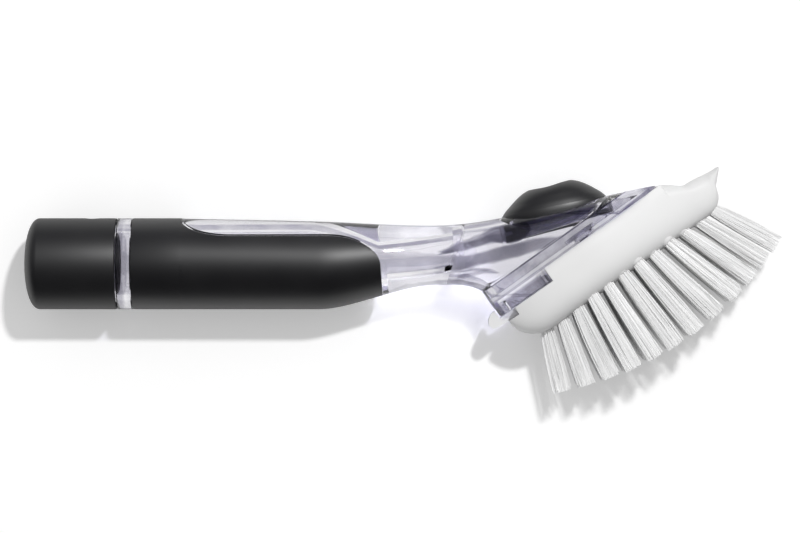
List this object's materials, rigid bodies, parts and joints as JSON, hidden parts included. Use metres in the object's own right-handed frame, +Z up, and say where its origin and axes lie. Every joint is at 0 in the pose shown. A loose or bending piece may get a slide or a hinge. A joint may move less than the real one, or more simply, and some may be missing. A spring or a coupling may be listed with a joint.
{
  "type": "dish wand",
  "caption": "Soap-filled dish wand: hollow clear handle with a soft grip, screw cap at the tail, push button over a pump, and a slide-on bristle head with a scraper.",
  "frame": {"origin": "on the handle's axis at the middle of the grip's full round collar", "axes": "+X along the handle towards the brush head, +Y towards the push button, +Z up from the table with the wand lying on its side"},
  "size_m": [0.2722, 0.0811, 0.034],
  "materials": {
    "clear_plastic": "clear, faintly violet, polished",
    "soft_black": "satin soft-touch",
    "hard_black": "matte",
    "white_plastic": "glossy",
    "bristle": "nylon filament",
    "silicone": "translucent, matte",
    "staple_steel": "drawn wire"
  },
  "bodies": {
    "handle": {"clear_body": "clear_plastic", "grip_sleeve": "soft_black", "inlet_valve": "silicone", "valve_retainer": "clear_plastic", "diaphragm_ring": "hard_black", "button_diaphragm": "soft_black", "base_plate": "clear_plastic", "outlet_valve": "silicone", "outlet_retainer": "clear_plastic"},
    "button": {"button_dome": "soft_black", "button_core": "hard_black"},
    "cap_liner": {"cap_seal": "silicone"},
    "cap": {"cap_skin": "soft_black", "cap_core": "hard_black"},
    "head": {"brush_block": "white_plastic", "tuft_staples": "staple_steel", "bristle_row_01": "bristle", "bristle_row_02": "bristle", "bristle_row_03": "bristle", "bristle_row_04": "bristle", "bristle_row_05": "bristle", "bristle_row_06": "bristle", "bristle_row_07": "bristle", "bristle_row_08": "bristle", "bristle_row_09": "bristle", "bristle_row_10": "bristle", "bristle_row_11": "bristle", "bristle_row_12": "bristle"},
    "latch": {"release_tongue": "white_plastic"}
  },
  "joints": [
    {"name": "button_press", "type": "slide", "parent": "handle", "child": "button", "axis": [0.2045, -0.9789, 0], "range_m": [0, 0.003], "stiffness_N_per_m": 500, "deforming": ["button_diaphragm"]},
    {"name": "cap_travel", "type": "slide", "parent": "handle", "child": "cap_liner", "axis": [-1, 0, 0], "range_m": [0, 0.0181]},
    {"name": "cap_turn", "type": "hinge", "parent": "cap_liner", "child": "cap", "pos_m": [-0.03, 0, 0], "axis": [-1, 0, 0], "range_deg": [0, 1620]},
    {"name": "head_slide", "type": "slide", "parent": "handle", "child": "head", "axis": [0.8141, 0.5807, 0], "range_m": [0, 0.075]},
    {"name": "latch_flex", "type": "hinge", "parent": "head", "child": "latch", "pos_m": [0.13302, -0.01401, 0], "axis": [0, 0, 1], "range_deg": [0, 14], "stiffness_Nm_per_rad": 0.1}
  ],
  "couplings": [
    {"joint": "cap_travel", "follows": "cap_turn", "m_per_rad": 0.00063662}
  ]
}
